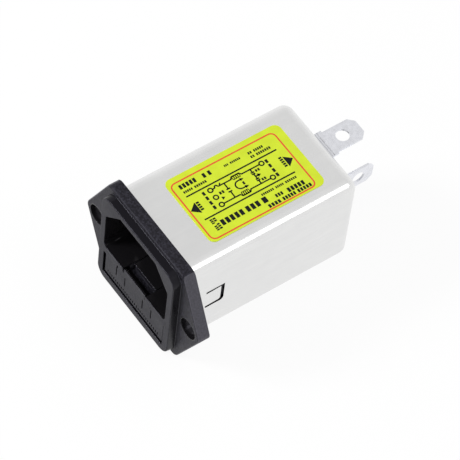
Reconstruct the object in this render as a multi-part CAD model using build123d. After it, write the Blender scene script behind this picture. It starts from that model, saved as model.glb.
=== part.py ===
from build123d import *
import os

# Mains inlet filter: a moulded inlet with a fuse drawer, on a drawn metal can that holds the filter.
# Millimetres. X is to the right seen from the front, Y runs into the part, Z is up.
# The origin is the centre of the flange's back face, which lies on the panel.

# Flange and bezel of the moulded housing
flange_margin = 0.6
flange_thickness = 3.0
flange_straight_past_bezel = 0.4
ear_past_hole = 4.4
ear_corner_radius = 2.0
flange_edge_radius = 0.5
screw_hole_diameter = 5.4
hole_to_bezel = 1.1
bezel_over_can = 0.3
bezel_under_mouth = 2.5
bezel_side_wall = 2.05
bezel_corner_radius = 3.2
bezel_rise = 2.0
bezel_draft_angle = 8.0
bezel_edge_radius = 0.25

# Inlet opening
opening_width = 24.3
opening_height = 16.4
opening_top = 13.4
opening_chamfer = 5.3
opening_top_radius = 0.5
opening_bottom_radius = 1.4
opening_roof_wall = 0.7
opening_side_wall = 1.45
socket_depth = 17.5

# Drawn can
can_sheet = 0.5
can_edge_radius = 3.0
can_rear_radius = 2.4
can_seat_depth = 0.3
can_seat_clearance = 0.1
housing_clearance = 0.1
housing_back_wall = 2.5

# Locking tongues pressed out of the can's two sides
tongue_front = 4.4
tongue_length = 5.0
tongue_height = 6.2
tongue_drop = 0.35
tongue_slot = 0.66
tongue_end_slot = 0.85
tongue_bend = 0.1
tongue_corner_radius = 1.0
tongue_clearance = 0.15

# Inlet pins
pin_spacing = 14.0
pin_row_drop = 2.0
earth_pin_offset = 4.0
pin_height = 4.0
pin_width = 2.0
pin_tip_depth = 5.5
earth_tip_depth = 4.5
pin_tip_chamfer = 0.6
pin_tag_width = 2.0
pin_tag_thickness = 0.8
pin_slot_clearance = 0.05

# Fuse bay and drawer
web_thickness = 2.1
bay_side_wall = 1.6
bay_floor_wall = 0.8
bay_end_space = 2.1
mouth_drop = 1.3
mouth_back_gap = 0.1
mouth_step_width = 13.4
mouth_step_rise = 0.8
pull_width = 8.4
pull_side_gap = 0.3
pull_length = 7.1
pull_slot_spare = 0.5
pull_lip = 0.6
pull_groove = 2.3
pull_groove_depth = 1.3
drawer_side_gap = 0.3
drawer_floor_gap = 0.15
drawer_face_recess = 0.15
drawer_face_thickness = 1.8
drawer_wall = 0.9
face_left_gap = 0.85
face_bottom_gap = 0.95
drawer_cradle_inset = 1.5
face_line_width = 0.35
face_line_depth = 0.4
face_outer_line_x = 6.85
face_inner_line_x = 3.5
face_line_length = 3.4
grip_groove_count = 27
grip_groove_pitch = 0.76
grip_groove_width = 0.36
grip_groove_height = 0.95
grip_groove_depth = 0.25
grip_groove_bottom_margin = 0.5

# Glass fuses, five by twenty
fuse_length = 20.0
fuse_diameter = 5.2
fuse_cap_length = 5.0
fuse_cap_wall = 0.25
fuse_cap_end = 0.4
fuse_glass_wall = 0.6
fuse_wire_diameter = 0.4
fuse_fit_gap = 0.05
fuse_roof = 0.55
fuse_recess = 0.25
fuse_end_space = 2.0
fuse_snap_width = 4.7

# Fuse contacts, bent from strip
contact_strip = 0.4
contact_height = 2.6
contact_tag_height = 1.6
contact_gap = 0.15
contact_lead_in = 1.1
contact_tail_offset = 0.6
contact_slot_clearance = 0.1

# Filter board on posts behind the housing
board_standoff = 3.0
board_thickness = 1.2
board_edge_gap = 0.7
board_slot_clearance = 0.2
post_diameter = 2.4
stud_diameter = 1.4
stud_clearance = 0.1
upper_post_from_side = 3.7
upper_post_from_top = 7.7
lower_post_from_side = 2.6
post_to_contact = 1.5
tag_projection = 1.0
part_lift = 1.7
leg_diameter = 0.6

# Current-compensated choke
choke_x = -3.0
choke_drop = 3.25
core_outer_diameter = 15.0
core_inner_diameter = 8.5
core_height = 7.0
core_edge_radius = 0.5
winding_wire = 1.2
winding_turns = 7
winding_pitch_angle = 11.0
winding_clearance = 0.05
choke_lift = 3.2
divider_thickness = 1.2
divider_foot_width = 14.0

# Capacitors and bleed resistor
x_capacitor_size = (13.0, 11.0, 5.0)
x_capacitor_top_gap = 0.9
x_capacitor_leg_spacing = 10.0
x_capacitor_edge_radius = 0.5
y_capacitor_diameter = 7.0
y_capacitor_thickness = 3.0
y_capacitor_from_side = 4.6
line_y_capacitor_from_top = 16.7
neutral_y_capacitor_from_top = 22.2
y_capacitor_leg_spacing = 4.0
resistor_from_side = 5.2
resistor_from_top = 8.5
resistor_length = 6.2
resistor_diameter = 2.4
resistor_waist_diameter = 2.0
resistor_leg_spacing = 8.0

# Rear terminals
tab_width = 6.3
tab_thickness = 0.5
tab_reach = 10.5
tab_tip_chamfer = 1.45
tab_hole_diameter = 3.3
tab_hole_from_tip = 4.15
load_tab_x = 6.45
line_tab_rise = 2.5
neutral_tab_drop = 4.6
tab_tail_width = 4.0
tab_tail_length = 3.7
tab_shoulder = 0.65
tab_shoulder_length = 1.2
bushing_flange_thickness = 1.6
bushing_flange_rim = (2.0, 1.2)
bushing_collar_wall = (1.4, 1.15)
bushing_collar_rise = 1.2
bushing_clearance = 0.1
earth_tab_from_top = 2.55
earth_hole_from_tip = 4.85
earth_root_step = 0.5
earth_root_reach = 2.1
earth_foot_below_rivet = 3.6
earth_bend_radius = 0.6
rivet_from_top = 7.5
rivet_shank_diameter = 2.4
rivet_head_diameter = 4.0
rivet_head_height = 0.8

# Insulated leads
lead_diameter = 1.6
lead_bend_radius = 1.6
line_lead_from_side = 2.8
line_lead_from_top = 11.7
neutral_lead_from_side = 3.4
neutral_lead_from_top = 3.7
lead_space = 7.65
lead_crossing = 2.1
lead_end_straight = 3.0
lead_capacitor_gap = 0.3

# Rating label
label_width = 19.3
label_length = 31.2
label_front = 7.85
label_corner_radius = 1.7
label_thickness = 0.12
label_offset = 0.3

# Places worked out from the sizes above: the drawer and its bay follow the opening and the fuses
bezel_front = -flange_thickness - bezel_rise
opening_bottom = opening_top - opening_height
opening_centre_z = opening_top - opening_height / 2
line_pin_z = opening_centre_z - pin_row_drop
earth_pin_z = line_pin_z + earth_pin_offset
bay_width = fuse_length + 2 * fuse_end_space
bay_top = opening_bottom - web_thickness
drawer_front = bezel_front + drawer_face_recess
drawer_top = bay_top - drawer_side_gap
fuse_z = drawer_top - fuse_roof - fuse_fit_gap - fuse_diameter / 2
drawer_bottom = fuse_z - fuse_diameter / 2 - fuse_recess
bay_bottom = drawer_bottom - drawer_floor_gap
mouth_bottom = bay_bottom - mouth_drop
mouth_depth = drawer_face_recess + drawer_face_thickness + mouth_back_gap
drawer_cradle_width = fuse_length - 2 * drawer_cradle_inset
spare_fuse_y = drawer_front + drawer_face_thickness + drawer_wall / 2 + fuse_diameter / 2
live_fuse_y = spare_fuse_y + fuse_diameter + drawer_wall + 2 * fuse_fit_gap
drawer_cradle_front = (spare_fuse_y + live_fuse_y) / 2 + drawer_wall / 2
drawer_back = live_fuse_y + fuse_diameter / 2 + fuse_fit_gap + drawer_wall
bay_back = drawer_back + bay_end_space
contact_x = fuse_length / 2 + contact_gap + contact_strip / 2
contact_tail_x = contact_x + contact_tail_offset

# The can fits round the housing, and the bezel and flange round the can
socket_floor = bezel_front + socket_depth
housing_back = max(socket_floor, bay_back) + housing_back_wall
housing_width = max(opening_width + 2 * opening_side_wall, bay_width + 2 * bay_side_wall)
can_gap = can_sheet + housing_clearance
can_width = housing_width + 2 * can_gap
can_top = opening_top + opening_roof_wall + can_gap
can_bottom = bay_bottom - bay_floor_wall - can_gap
can_height = can_top - can_bottom
can_centre_z = (can_top + can_bottom) / 2
tongue_centre_z = can_centre_z - tongue_drop
bezel_width = opening_width + 2 * bezel_side_wall
bezel_top = can_top + bezel_over_can
bezel_bottom = mouth_bottom - bezel_under_mouth
flange_height = 2 * (max(bezel_top, -bezel_bottom) + flange_margin)
flange_straight_width = bezel_width + 2 * flange_straight_past_bezel
screw_pitch = bezel_width + 2 * hole_to_bezel + screw_hole_diameter
ear_span = screw_pitch + 2 * ear_past_hole

# The board stands behind the housing, and its components are placed from the can's top and sides
upper_post_x = can_width / 2 - upper_post_from_side
upper_post_z = can_top - upper_post_from_top
lower_post_x = can_width / 2 - lower_post_from_side
lower_post_z = fuse_z + contact_height / 2 + post_to_contact + post_diameter / 2
board_front = housing_back + board_standoff
board_back = board_front + board_thickness
tag_end = board_back + tag_projection
part_base = board_back + part_lift
core_front = board_back + choke_lift
choke_back = core_front + core_height + winding_clearance + winding_wire
choke_z = can_centre_z - choke_drop
x_capacitor_bottom = can_top - can_sheet - x_capacitor_top_gap - x_capacitor_size[2]
y_capacitor_x = can_width / 2 - y_capacitor_from_side
line_y_capacitor_z = can_top - line_y_capacitor_from_top
neutral_y_capacitor_z = can_top - neutral_y_capacitor_from_top
resistor_x = can_width / 2 - resistor_from_side
resistor_z = can_top - resistor_from_top
line_lead_start = (can_width / 2 - line_lead_from_side, can_top - line_lead_from_top)
neutral_lead_start = (neutral_lead_from_side - can_width / 2, can_top - neutral_lead_from_top)
earth_tag_z = x_capacitor_bottom - lead_capacitor_gap - lead_diameter / 2

# The can reaches as far back as the choke, the leads and the tabs' tails need
tab_tail_end = choke_back + lead_space
bushing_front = tab_tail_end + tab_tail_length + tab_shoulder_length
can_inner_back = bushing_front + bushing_flange_thickness
can_back = can_inner_back + can_sheet
tab_tip = can_back + tab_reach
line_tab_z = can_centre_z + line_tab_rise
neutral_tab_z = can_centre_z - neutral_tab_drop
tab_shoulder_width = tab_width + 2 * tab_shoulder
bushing_collar_width = tab_thickness + 2 * bushing_collar_wall[0]
bushing_collar_height = tab_width + 2 * bushing_collar_wall[1]
earth_tab_z = can_top - earth_tab_from_top
earth_root_width = tab_width + 2 * earth_root_step
rivet_z = can_top - rivet_from_top
earth_foot_bottom = rivet_z - earth_foot_below_rivet


def at_depth(y):
    """Plane that faces the front at depth y, with X to the right and Z up."""
    return Plane(origin=(0, y, 0), x_dir=(1, 0, 0), z_dir=(0, -1, 0))


def prism(outline, front, back):
    """Outline in X and Z, carried from front to back along Y."""
    return extrude(at_depth(back) * outline, amount=back - front)


def block(x_range, y_range, z_range):
    """Box between two values on each axis."""
    spans = [high - low for low, high in (x_range, y_range, z_range)]
    centre = [(high + low) / 2 for low, high in (x_range, y_range, z_range)]
    return Pos(*centre) * Box(*spans)


def around(centre, size):
    """Range of the given size round a centre."""
    return (centre - size / 2, centre + size / 2)


def rod(diameter, x, z, front, back):
    """Round bar along Y."""
    return prism(Pos(x, z) * Circle(diameter / 2), front, back)


def cross_rod(diameter, y, z, left, right):
    """Round bar along X."""
    bar = Cylinder(diameter / 2, right - left, rotation=(0, 90, 0))
    return Pos((left + right) / 2, y, z) * bar


def rounded_outline(width, height, centre_z, radius):
    return Pos(0, centre_z) * RectangleRounded(width, height, radius)


def can_outline(inset):
    """Cross-section of the can, moved inwards by inset."""
    return rounded_outline(
        can_width - 2 * inset, can_height - 2 * inset, can_centre_z, can_edge_radius - inset)


def flange_outline():
    half_height = flange_height / 2
    half_straight = flange_straight_width / 2
    corners = [
        (-half_straight, -half_height), (half_straight, -half_height), (ear_span / 2, 0),
        (half_straight, half_height), (-half_straight, half_height), (-ear_span / 2, 0)]
    outline = Polygon(*corners, align=None)
    return fillet(outline.vertices(), ear_corner_radius)


def opening_outline():
    """Inlet opening with its two chamfered upper corners."""
    half = opening_width / 2
    corners = [
        (-half, opening_bottom), (half, opening_bottom), (half, opening_top - opening_chamfer),
        (half - opening_chamfer, opening_top), (-half + opening_chamfer, opening_top),
        (-half, opening_top - opening_chamfer)]
    outline = Polygon(*corners, align=None)
    outline = fillet(outline.vertices().group_by(Axis.Y)[0], opening_bottom_radius)
    return fillet(outline.vertices().group_by(Axis.Y)[2:], opening_top_radius)


def flange_with_bezel():
    flange = prism(flange_outline(), -flange_thickness, 0)
    front_edges = flange.faces().sort_by(Axis.Y)[0].outer_wire().edges()
    flange = fillet(front_edges, flange_edge_radius)
    bezel_height = bezel_top - bezel_bottom
    outline = rounded_outline(
        bezel_width, bezel_height, (bezel_top + bezel_bottom) / 2, bezel_corner_radius)
    bezel = extrude(at_depth(-flange_thickness) * outline, amount=bezel_rise, taper=bezel_draft_angle)
    rim = bezel.faces().sort_by(Axis.Y)[0].outer_wire().edges()
    bezel = fillet(rim, bezel_edge_radius)
    for side in (-1, 1):
        hole = rod(screw_hole_diameter, side * screw_pitch / 2, 0, -flange_thickness, 0)
        flange -= hole
    return flange + bezel


def bay_space():
    """Everything that is cut away for the fuse drawer."""
    space = block(around(0, bay_width), (bezel_front, bay_back), (bay_bottom, bay_top))
    mouth = (bezel_front, bezel_front + mouth_depth)
    space += block(around(0, bay_width), mouth, (mouth_bottom, bay_top))
    space += block(around(0, mouth_step_width), mouth, (mouth_bottom, bay_top + mouth_step_rise))
    slot_back = drawer_front + pull_length + pull_slot_spare
    slot_width = pull_width + 2 * pull_side_gap
    space += block(around(0, slot_width), (bezel_front, slot_back), (bay_top, opening_bottom))
    return space


def latch_pocket():
    """Pocket in the housing's side wall that a tongue of the can springs into."""
    outer = can_width / 2
    inner = outer - can_sheet - tongue_bend - tongue_clearance
    y_range = (tongue_front, tongue_front + tongue_length)
    return block((inner, outer), y_range, around(tongue_centre_z, tongue_height))


def corner_relief():
    """Hollow behind the opening's chamfer, open at the back, that keeps the wall even."""
    half = can_width / 2 - can_gap
    top = can_top - can_gap
    wall = half - opening_width / 2
    size = opening_chamfer - wall
    corner_x = half - wall
    corner_z = top - wall
    outline = Polygon(
        (corner_x, corner_z - size), (corner_x, corner_z), (corner_x - size, corner_z), align=None)
    return prism(outline, wall, housing_back)


def board_posts():
    """Posts behind the housing, each with a thinner stud that goes through the board."""
    posts = []
    places = [(upper_post_x, upper_post_z), (lower_post_x, lower_post_z)]
    for x, z in places:
        for side in (-1, 1):
            posts.append(rod(post_diameter, side * x, z, housing_back, board_front))
            posts.append(rod(stud_diameter, side * x, z, board_front, board_back + tag_projection / 2))
    return posts


def pin_slot(x, z):
    width = pin_width + 2 * pin_slot_clearance
    height = pin_height + 2 * pin_slot_clearance
    return block(around(x, width), (socket_floor, housing_back), around(z, height))


def can_seat():
    """Groove in the flange's back that takes the can's front edge."""
    groove = prism(can_outline(-can_seat_clearance), -can_seat_depth, 0)
    return groove - prism(can_outline(can_gap), -can_seat_depth, 0)


def contact_slot(side):
    width = contact_strip + 2 * contact_slot_clearance
    height = contact_height + 2 * contact_slot_clearance
    return block(around(side * contact_tail_x, width), (bay_back, housing_back), around(fuse_z, height))


def inlet_housing():
    body = prism(can_outline(can_gap), 0, housing_back)
    housing = flange_with_bezel() + body - can_seat()
    housing -= prism(opening_outline(), bezel_front, socket_floor)
    housing -= bay_space()
    for side in (-1, 1):
        housing -= pin_slot(side * pin_spacing / 2, line_pin_z)
        housing -= contact_slot(side)
    housing -= pin_slot(0, earth_pin_z)
    for cut in (latch_pocket(), corner_relief()):
        housing -= cut
        housing -= mirror(cut, Plane.YZ)
    for post in board_posts():
        housing += post
    return housing


def tongue_window():
    """Opening in the can's side wall round a tongue, with one rounded corner."""
    wall = (can_width / 2 - can_sheet, can_width / 2)
    window = block(
        wall, (tongue_front, tongue_front + tongue_length), around(tongue_centre_z, tongue_height))
    lower_back = window.edges().filter_by(Axis.X).sort_by(Axis.Y)[-2:].sort_by(Axis.Z)[0]
    return fillet(lower_back, tongue_corner_radius)


def tongue():
    """Tongue that is fixed at its front end and bent inwards at the other."""
    outer = can_width / 2
    end = tongue_front + tongue_length - tongue_end_slot
    profile = Polygon(
        (outer, tongue_front), (outer - tongue_bend, end), (outer - tongue_bend - can_sheet, end),
        (outer - can_sheet, tongue_front), align=None)
    height = tongue_height - 2 * tongue_slot
    base = Plane.XY.offset(tongue_centre_z - height / 2)
    plate = extrude(base * profile, amount=height)
    lower_end = plate.edges().filter_by(Axis.X, tolerance=20).sort_by(Axis.Y)[-2:].sort_by(Axis.Z)[0]
    return fillet(lower_end, tongue_corner_radius - tongue_slot / 2)


def metal_can():
    outer = prism(can_outline(0), -can_seat_depth, can_back)
    rear = outer.faces().sort_by(Axis.Y)[-1].outer_wire().edges()
    outer = fillet(rear, can_rear_radius)
    inner = prism(can_outline(can_sheet), -can_seat_depth, can_inner_back)
    rear = inner.faces().sort_by(Axis.Y)[-1].outer_wire().edges()
    inner = fillet(rear, can_rear_radius - can_sheet)
    can = outer - inner
    window = tongue_window()
    can = can - window - mirror(window, Plane.YZ)
    latch = tongue()
    can = can + latch + mirror(latch, Plane.YZ)
    for x, z in ((load_tab_x, line_tab_z), (-load_tab_x, neutral_tab_z)):
        width = bushing_collar_width + 2 * bushing_clearance
        height = bushing_collar_height + 2 * bushing_clearance
        can -= block(around(x, width), (can_inner_back, can_back), around(z, height))
    can -= rod(rivet_shank_diameter, 0, rivet_z, can_inner_back, can_back)
    return can


def inlet_pin(x, z, tip_depth, tag_z):
    """Flat pin with a chamfered tip and a narrow tag that goes through the board."""
    front = bezel_front + tip_depth
    pin = block(around(x, pin_width), (front, housing_back), around(z, pin_height))
    tip_edges = pin.faces().sort_by(Axis.Y)[0].edges()
    pin = chamfer(tip_edges, pin_tip_chamfer)
    tag = block(around(x, pin_tag_width), (housing_back, tag_end), around(tag_z, pin_tag_thickness))
    return pin + tag


def fuse_contact(side):
    """Strip spring with a bowed front end, and a narrow tag that goes through the board."""
    bow_y = live_fuse_y
    points = [
        (contact_x + contact_lead_in, bow_y - 2.2 * contact_lead_in), (contact_x, bow_y - contact_strip),
        (contact_x, bow_y + contact_strip), (contact_tail_x, bow_y + 3 * contact_tail_offset),
        (contact_tail_x, housing_back)]
    path = Polyline(*points)
    strip = trace(path, line_width=contact_strip)
    base = Plane.XY.offset(fuse_z - contact_height / 2)
    contact = extrude(base * strip, amount=contact_height)
    tag = (housing_back, tag_end)
    contact += block(around(contact_tail_x, contact_strip), tag, around(fuse_z, contact_tag_height))
    if side < 0:
        contact = mirror(contact, Plane.YZ)
    return contact


def fuse_cradle_cut(y, half_length):
    """Round seat for a fuse, open below by a slot narrower than the fuse."""
    seat = cross_rod(fuse_diameter + 2 * fuse_fit_gap, y, fuse_z, -half_length, half_length)
    slot = block((-half_length, half_length), around(y, fuse_snap_width), (drawer_bottom, fuse_z))
    return seat + slot


def drawer_face():
    """Front plate with a stepped middle, four fine lines and a row of grip grooves.

    The mouth leaves it more room below and to the left, where a nail can pry it out.
    """
    gap = drawer_side_gap
    y_range = (drawer_front, drawer_front + drawer_face_thickness)
    bottom = mouth_bottom + face_bottom_gap
    left = face_left_gap - bay_width / 2
    right = bay_width / 2 - gap
    face = block((left, right), y_range, (bottom, drawer_top))
    step_top = drawer_top + mouth_step_rise
    face += block(around(0, mouth_step_width - 2 * gap), y_range, (bottom, step_top))
    line_y = (drawer_front, drawer_front + face_line_depth)
    for x in (face_outer_line_x, face_inner_line_x):
        line_top = drawer_top - (0 if x == face_outer_line_x else gap)
        for side in (-1, 1):
            face -= block(around(side * x, face_line_width), line_y, (line_top - face_line_length, line_top))
    groove_y = (drawer_front, drawer_front + grip_groove_depth)
    groove_bottom = bottom + grip_groove_bottom_margin
    groove_z = (groove_bottom, groove_bottom + grip_groove_height)
    for index in range(grip_groove_count):
        x = (index - (grip_groove_count - 1) / 2) * grip_groove_pitch
        face -= block(around(x, grip_groove_width), groove_y, groove_z)
    return face


def drawer_pull():
    """Raised middle block that fills the slot in the socket's floor, with a finger groove."""
    top = opening_bottom - pull_side_gap / 3
    pull = block(around(0, pull_width), (drawer_front, drawer_front + pull_length), (drawer_top, top))
    groove_front = drawer_front + pull_lip
    groove = (groove_front, groove_front + pull_groove)
    pull -= block(around(0, pull_width), groove, (top - pull_groove_depth, top))
    return pull


def fuse_drawer():
    width = bay_width - 2 * drawer_side_gap
    body_front = drawer_front + drawer_face_thickness
    drawer = drawer_face() + drawer_pull()
    drawer += block(around(0, width), (body_front, drawer_cradle_front), (drawer_bottom, drawer_top))
    drawer += block(
        around(0, drawer_cradle_width), (drawer_cradle_front, drawer_back), (drawer_bottom, drawer_top))
    drawer -= fuse_cradle_cut(spare_fuse_y, fuse_length / 2 + fuse_fit_gap)
    drawer -= fuse_cradle_cut(live_fuse_y, drawer_cradle_width / 2)
    return drawer


def fuse_tube(y):
    """Glass tube whose ends stop short of the caps' end walls."""
    diameter = fuse_diameter - 2 * fuse_cap_wall - 2 * fuse_fit_gap
    half = fuse_length / 2 - fuse_cap_end
    tube = cross_rod(diameter, y, fuse_z, -half, half)
    return tube - cross_rod(diameter - 2 * fuse_glass_wall, y, fuse_z, -half, half)


def fuse_cap(y, side):
    """Drawn metal cap, a cup with its open end to the middle of the fuse."""
    end = fuse_length / 2
    cap = cross_rod(fuse_diameter, y, fuse_z, end - fuse_cap_length, end)
    bore = fuse_diameter - 2 * fuse_cap_wall
    cap -= cross_rod(bore, y, fuse_z, end - fuse_cap_length, end - fuse_cap_end)
    if side < 0:
        cap = mirror(cap, Plane.YZ)
    return cap


def fuse_wire(y):
    half = fuse_length / 2 - fuse_cap_end
    return cross_rod(fuse_wire_diameter, y, fuse_z, -half, half)


def filter_board():
    """Board with slots for the tags and holes for the studs."""
    margin = can_sheet + board_edge_gap
    board = prism(can_outline(margin), board_front, board_back)
    spare = 2 * board_slot_clearance
    y_range = (board_front, board_back)
    tags = [(-pin_spacing / 2, line_pin_z), (pin_spacing / 2, line_pin_z), (0, earth_tag_z)]
    for x, z in tags:
        board -= block(around(x, pin_tag_width + spare), y_range, around(z, pin_tag_thickness + spare))
    for side in (-1, 1):
        x = side * contact_tail_x
        board -= block(around(x, contact_strip + spare), y_range, around(fuse_z, contact_tag_height + spare))
    for x, z in ((upper_post_x, upper_post_z), (lower_post_x, lower_post_z)):
        for side in (-1, 1):
            hole_diameter = stud_diameter + 2 * stud_clearance
            board -= rod(hole_diameter, side * x, z, board_front, board_back)
    return board


def choke_core():
    """Ferrite ring with softened edges, its axis along Y."""
    ring = rod(core_outer_diameter, choke_x, choke_z, core_front, core_front + core_height)
    ring -= rod(core_inner_diameter, choke_x, choke_z, core_front, core_front + core_height)
    return fillet(ring.edges().filter_by(GeomType.CIRCLE), core_edge_radius)


def choke_divider():
    """Plastic plate that keeps the two windings apart and carries the core."""
    x_range = around(choke_x, divider_thickness)
    plate = block(x_range, (board_back, core_front), around(choke_z, divider_foot_width))
    web_width = core_inner_diameter - 4 * winding_clearance
    web_end = core_front + core_height + winding_wire
    return plate + block(x_range, (core_front, web_end), around(choke_z, web_width))


def winding_loop():
    """One turn round the core's section, standing in the plane Z = 0 to the right of the axis."""
    inner_radius = core_inner_diameter / 2 - winding_clearance
    outer_radius = core_outer_diameter / 2 + winding_clearance
    front = core_front - winding_clearance
    back = core_front + core_height + winding_clearance
    wire = winding_wire
    z_range = around(0, wire)
    loop = block((inner_radius - wire, outer_radius + wire), (front - wire, back + wire), z_range)
    loop = fillet(loop.edges().filter_by(Axis.Z), wire)
    return loop - block((inner_radius, outer_radius), (front, back), z_range)


def choke_winding(side):
    """Turns round one half of the core, with two legs that stand on the board."""
    loop = winding_loop()
    leg_radius = core_outer_diameter / 2 + winding_clearance + winding_wire / 2
    leg = rod(winding_wire, leg_radius, 0, board_back, core_front + core_height / 2)
    winding = None
    for index in range(winding_turns):
        angle = (index - (winding_turns - 1) / 2) * winding_pitch_angle
        turn = loop
        if index in (0, winding_turns - 1):
            turn = turn + leg
        turn = Rot(0, angle, 0) * turn
        winding = turn if winding is None else winding + turn
    if side < 0:
        winding = mirror(winding, Plane.YZ)
    return Pos(choke_x, 0, choke_z) * winding


def x_capacitor():
    """Boxed film capacitor on two wire legs."""
    width, length, thickness = x_capacitor_size
    z = x_capacitor_bottom + thickness / 2
    body = block(around(0, width), (part_base, part_base + length), around(z, thickness))
    body = fillet(body.edges().filter_by(Axis.Y), x_capacitor_edge_radius)
    for side in (-1, 1):
        body += rod(leg_diameter, side * x_capacitor_leg_spacing / 2, z, board_back, part_base)
    return body


def y_capacitor(z):
    """Coated ceramic disc that stands on two wire legs."""
    middle = part_base + y_capacitor_diameter / 2
    disc = Cylinder(y_capacitor_diameter / 2, y_capacitor_thickness)
    disc = fillet(disc.edges().filter_by(GeomType.CIRCLE), y_capacitor_thickness / 3)
    disc = Pos(y_capacitor_x, middle, z) * disc
    for side in (-1, 1):
        x = y_capacitor_x + side * y_capacitor_leg_spacing / 2
        disc += rod(leg_diameter, x, z, board_back, middle)
    return disc


def bleed_resistor():
    """Film resistor with end caps wider than its waist, and wire legs bent down to the board."""
    y = part_base + resistor_diameter / 2
    half = resistor_length / 2
    half_legs = resistor_leg_spacing / 2
    body = cross_rod(resistor_waist_diameter, y, resistor_z, resistor_x - half, resistor_x + half)
    for side in (-1, 1):
        ends = sorted((resistor_x + side * half, resistor_x + side * half / 2))
        body += cross_rod(resistor_diameter, y, resistor_z, ends[0], ends[1])
        leg_x = resistor_x + side * half_legs
        body += rod(leg_diameter, leg_x, resistor_z, board_back, y)
        body += Pos(leg_x, y, resistor_z) * Sphere(leg_diameter / 2)
    legs = cross_rod(leg_diameter, y, resistor_z, resistor_x - half_legs, resistor_x + half_legs)
    return body + legs


def tab_blade(tail):
    """Flat tab in the plane X = 0, centred on Z = 0, from its tail to its chamfered tip."""
    half = tab_width / 2
    tip = tab_tip - tab_tip_chamfer
    shoulder = bushing_front - tab_shoulder_length
    outline = [
        (shoulder, -tab_shoulder_width / 2), (bushing_front, -tab_shoulder_width / 2),
        (bushing_front, -half), (tip, -half), (tab_tip, -half + tab_tip_chamfer),
        (tab_tip, half - tab_tip_chamfer), (tip, half), (bushing_front, half),
        (bushing_front, tab_shoulder_width / 2), (shoulder, tab_shoulder_width / 2)]
    outline += [(shoulder, tab_tail_width / 2), (tail, tab_tail_width / 2)]
    outline += [(tail, -tab_tail_width / 2), (shoulder, -tab_tail_width / 2)]
    side_plane = Plane(origin=(-tab_thickness / 2, 0, 0), x_dir=(0, 1, 0), z_dir=(1, 0, 0))
    blade = extrude(side_plane * Polygon(*outline, align=None), amount=tab_thickness)
    hole = Cylinder(tab_hole_diameter / 2, 2 * tab_thickness, rotation=(0, 90, 0))
    return blade - Pos(0, tab_tip - tab_hole_from_tip, 0) * hole


def load_tab(x, z):
    return Pos(x, 0, z) * tab_blade(tab_tail_end)


def tab_bushing(x, z):
    """Insulating bushing: a flange inside the can and a collar through its back wall."""
    rim_x, rim_z = bushing_flange_rim
    x_range = around(x, bushing_collar_width + 2 * rim_x)
    z_range = around(z, bushing_collar_height + 2 * rim_z)
    flange = block(x_range, (bushing_front, can_inner_back), z_range)
    collar_end = can_back + bushing_collar_rise
    collar = block(
        around(x, bushing_collar_width), (can_inner_back, collar_end), around(z, bushing_collar_height))
    rim = collar.faces().sort_by(Axis.Y)[-1].edges()
    collar = chamfer(rim, bushing_collar_rise / 3)
    slot = block(around(x, tab_thickness), (bushing_front, collar_end), around(z, tab_width))
    return flange + collar - slot


def earth_tab():
    """Tab bent from a foot that lies on the can's back face."""
    half = tab_thickness / 2
    foot_y = can_back + half
    path = FilletPolyline(
        (foot_y, earth_foot_bottom), (foot_y, earth_tab_z), (tab_tip, earth_tab_z),
        radius=earth_bend_radius + half)
    side_plane = Plane(origin=(-earth_root_width / 2, 0, 0), x_dir=(0, 1, 0), z_dir=(1, 0, 0))
    bent = extrude(side_plane * trace(path, line_width=tab_thickness), amount=earth_root_width)
    root_end = can_back + earth_root_reach
    tip = tab_tip - tab_tip_chamfer
    blade_half = tab_width / 2
    root_half = earth_root_width / 2
    plan = Polygon(
        (-root_half, can_back), (root_half, can_back), (root_half, root_end),
        (blade_half, root_end), (blade_half, tip), (blade_half - tab_tip_chamfer, tab_tip),
        (-blade_half + tab_tip_chamfer, tab_tip), (-blade_half, tip), (-blade_half, root_end),
        (-root_half, root_end), align=None)
    column = extrude(Plane.XY.offset(earth_foot_bottom) * plan, amount=earth_tab_z)
    tab = bent & column
    hole = Cylinder(tab_hole_diameter / 2, 2 * tab_thickness)
    tab -= Pos(0, tab_tip - earth_hole_from_tip, earth_tab_z) * hole
    return tab - rod(rivet_shank_diameter, 0, rivet_z, can_back, can_back + tab_thickness)


def earth_rivet():
    """Rivet that holds the earth tab's foot to the can."""
    foot_face = can_back + tab_thickness
    shank = rod(rivet_shank_diameter, 0, rivet_z, can_inner_back, foot_face)
    head = rod(rivet_head_diameter, 0, rivet_z, foot_face, foot_face + rivet_head_height)
    head = fillet(head.faces().sort_by(Axis.Y)[-1].edges(), rivet_head_height * 0.75)
    tail = rod(rivet_head_diameter, 0, rivet_z, can_inner_back - rivet_head_height, can_inner_back)
    return shank + head + tail


def lead(points):
    """Insulated wire along straight runs joined by arcs."""
    path = FilletPolyline(*points, radius=lead_bend_radius)
    section = Plane(origin=path @ 0, z_dir=path % 0) * Circle(lead_diameter / 2)
    return sweep(section, path=path)


def load_lead(start, x, z):
    """Lead from the board to the tail of a load tab."""
    crossing_end = tab_tail_end - lead_end_straight
    crossing_start = crossing_end - lead_crossing
    return lead([
        (start[0], board_back, start[1]), (start[0], crossing_start, start[1]),
        (x, crossing_end, z), (x, tab_tail_end, z)])


def earth_lead():
    """Lead from the earth pin's tag to the rivet, with a small set to one side."""
    end = can_inner_back - rivet_head_height
    middle = (tag_end + end) / 2
    z = earth_tag_z
    return lead([
        (0, tag_end, z), (0, middle, z), (lead_diameter, middle + lead_end_straight, z),
        (lead_diameter / 2, end - lead_end_straight, rivet_z), (lead_diameter / 2, end, rivet_z)])


def rating_label():
    y = label_front + label_length / 2
    outline = RectangleRounded(label_width, label_length, label_corner_radius)
    return extrude(Plane.XY.offset(can_top) * (Pos(label_offset, y) * outline), amount=label_thickness)


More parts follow.
